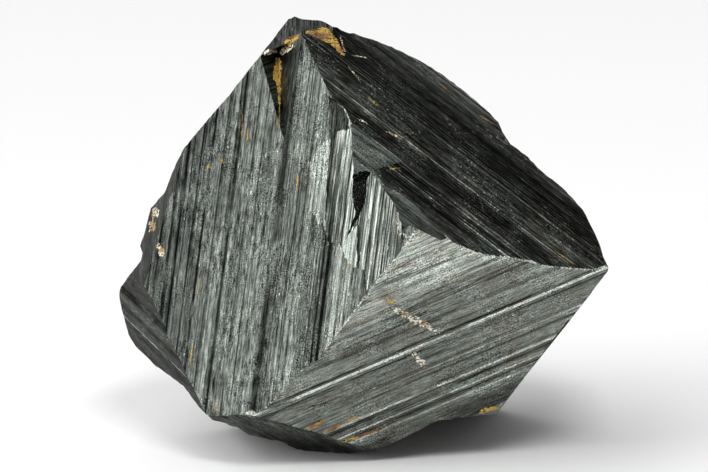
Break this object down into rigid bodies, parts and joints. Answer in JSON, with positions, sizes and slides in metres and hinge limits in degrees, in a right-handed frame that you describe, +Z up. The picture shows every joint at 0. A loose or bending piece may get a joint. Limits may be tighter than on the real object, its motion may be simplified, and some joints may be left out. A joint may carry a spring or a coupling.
{
  "type": "magnetite crystal",
  "caption": "Striated dodecahedral magnetite crystal with a stepped corner and a notched tip, standing on its broken base.",
  "frame": {"origin": "middle of the bounding box at the height of the flat break that the crystal rests on", "axes": "+Z up, +X to the right as seen from the front; the three-fold axis points to the front, along -Y, and rises 12 degrees"},
  "size_m": [0.0392, 0.0322, 0.0349],
  "materials": {
    "magnetite": "satin"
  },
  "bodies": {
    "root": {"crystal": "magnetite"}
  },
  "joints": []
}
